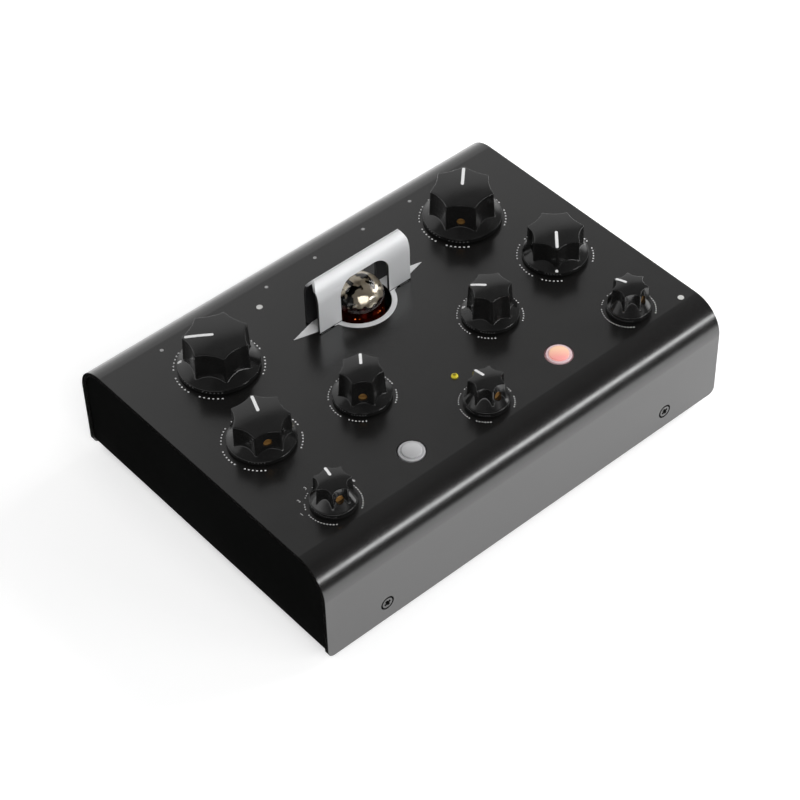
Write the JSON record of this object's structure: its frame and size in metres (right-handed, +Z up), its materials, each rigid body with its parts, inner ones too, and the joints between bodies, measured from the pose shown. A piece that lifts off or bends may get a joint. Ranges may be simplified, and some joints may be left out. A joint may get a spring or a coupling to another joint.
{
  "type": "desktop tube delay unit",
  "caption": "Desktop audio delay in a bent sheet-metal case, with fluted knobs, two push buttons and a glass tube behind a pointed sheet guard.",
  "frame": {"origin": "on the table plane under the feet, below the middle of the whole unit's outline, 7.37 mm behind the middle of the case", "axes": "+X to the right along the front, +Y to the rear wall with the jacks, +Z up from the feet"},
  "size_m": [0.205, 0.164, 0.0751],
  "materials": {
    "cover_paint": "satin dark grey powder paint",
    "tray_paint": "matt black paint",
    "painted_screw": "satin grey",
    "foot_rubber": "matt",
    "zinc_steel": "zinc plated",
    "guard_aluminium": "satin",
    "trim_aluminium": "satin",
    "tube_glass": "clear, silvered inside the dome",
    "pin_nickel": "nickel plated",
    "anode_metal": "carbonised grey",
    "mica": "translucent",
    "socket_plastic": "matt",
    "circuit_board": "solder mask",
    "black_plastic": "moulded",
    "pot_steel": "plated sheet",
    "knob_plastic": "satin black",
    "set_screw_brass": "machined",
    "tap_cap": "frosted translucent",
    "bypass_cap": "frosted translucent, lit from inside",
    "led_yellow": "lit",
    "lamp_white": "lit",
    "jack_chrome": "nickel plated"
  },
  "bodies": {
    "case": {"top_cover": "cover_paint", "rear_wall": "cover_paint", "bottom_tray": "tray_paint", "cover_screws": "painted_screw", "rubber_feet": "foot_rubber", "foot_screws": "zinc_steel", "tube_guard": "guard_aluminium", "tube_bezel": "trim_aluminium", "tube_glass": "tube_glass", "tube_pins": "pin_nickel", "tube_anodes": "anode_metal", "tube_micas": "mica", "tube_getter": "pin_nickel", "tube_socket": "socket_plastic", "control_board": "circuit_board", "main_board": "circuit_board", "board_standoffs": "zinc_steel", "board_screws": "zinc_steel", "board_connector": "black_plastic", "potentiometer_bodies": "pot_steel", "rotary_switch_bodies": "pot_steel", "bushing_nuts": "pin_nickel", "button_switches": "black_plastic", "level_led": "led_yellow", "light_windows": "lamp_white", "rear_jacks": "black_plastic", "jack_nuts": "jack_chrome", "power_inlet": "black_plastic", "power_switch": "pin_nickel", "power_switch_nut": "jack_chrome"},
    "cutoff_dial": {"cutoff_knob": "knob_plastic", "cutoff_shaft": "zinc_steel", "cutoff_set_screw": "set_screw_brass"},
    "delay_time_dial": {"delay_time_knob": "knob_plastic", "delay_time_shaft": "zinc_steel", "delay_time_set_screw": "set_screw_brass"},
    "drive_dial": {"drive_knob": "knob_plastic", "drive_shaft": "zinc_steel", "drive_set_screw": "set_screw_brass"},
    "feedback_dial": {"feedback_knob": "knob_plastic", "feedback_shaft": "zinc_steel", "feedback_set_screw": "set_screw_brass"},
    "mix_dial": {"mix_knob": "knob_plastic", "mix_shaft": "zinc_steel", "mix_set_screw": "set_screw_brass"},
    "resonance_dial": {"resonance_knob": "knob_plastic", "resonance_shaft": "zinc_steel", "resonance_set_screw": "set_screw_brass"},
    "input_level_dial": {"input_level_knob": "knob_plastic", "input_level_shaft": "zinc_steel", "input_level_set_screw": "set_screw_brass"},
    "filter_mode_dial": {"filter_mode_knob": "knob_plastic", "filter_mode_shaft": "zinc_steel", "filter_mode_set_screw": "set_screw_brass"},
    "delay_mode_dial": {"delay_mode_knob": "knob_plastic", "delay_mode_shaft": "zinc_steel", "delay_mode_set_screw": "set_screw_brass"},
    "tap_push": {"tap_button": "tap_cap"},
    "bypass_push": {"bypass_button": "bypass_cap"},
    "power_lever": {"power_switch_lever": "jack_chrome"}
  },
  "joints": [
    {"name": "cutoff_turn", "type": "hinge", "parent": "case", "child": "cutoff_dial", "pos_m": [0.0636, 0.02763, 0.0501], "axis": [0, 0, 1], "range_deg": [-105, 195]},
    {"name": "delay_time_turn", "type": "hinge", "parent": "case", "child": "delay_time_dial", "pos_m": [-0.0636, 0.02763, 0.0501], "axis": [0, 0, 1], "range_deg": [-202, 98]},
    {"name": "drive_turn", "type": "hinge", "parent": "case", "child": "drive_dial", "pos_m": [0.0762, -0.01437, 0.0501], "axis": [0, 0, 1], "range_deg": [-289, 11]},
    {"name": "feedback_turn", "type": "hinge", "parent": "case", "child": "feedback_dial", "pos_m": [-0.0762, -0.01437, 0.0501], "axis": [0, 0, 1], "range_deg": [-127.5, 172.5]},
    {"name": "mix_turn", "type": "hinge", "parent": "case", "child": "mix_dial", "pos_m": [-0.0332, -0.02237, 0.0501], "axis": [0, 0, 1], "range_deg": [-112.5, 187.5]},
    {"name": "resonance_turn", "type": "hinge", "parent": "case", "child": "resonance_dial", "pos_m": [0.0332, -0.02237, 0.0501], "axis": [0, 0, 1], "range_deg": [-190, 110]},
    {"name": "input_level_turn", "type": "hinge", "parent": "case", "child": "input_level_dial", "pos_m": [0, -0.05647, 0.0501], "axis": [0, 0, 1], "range_deg": [-152, 148]},
    {"name": "filter_mode_turn", "type": "hinge", "parent": "case", "child": "filter_mode_dial", "pos_m": [0.0762, -0.05647, 0.0501], "axis": [0, 0, 1], "range_deg": [-60, 30]},
    {"name": "delay_mode_turn", "type": "hinge", "parent": "case", "child": "delay_mode_dial", "pos_m": [-0.0762, -0.05647, 0.0501], "axis": [0, 0, 1], "range_deg": [-60, 90]},
    {"name": "tap_press", "type": "slide", "parent": "case", "child": "tap_push", "axis": [0, 0, 1], "range_m": [-0.0008, 0], "stiffness_N_per_m": 800},
    {"name": "bypass_press", "type": "slide", "parent": "case", "child": "bypass_push", "axis": [0, 0, 1], "range_m": [-0.0008, 0], "stiffness_N_per_m": 800},
    {"name": "power_toggle", "type": "hinge", "parent": "case", "child": "power_lever", "pos_m": [-0.075, 0.07023, 0.022], "axis": [1, 0, 0], "range_deg": [-25, 0]}
  ]
}
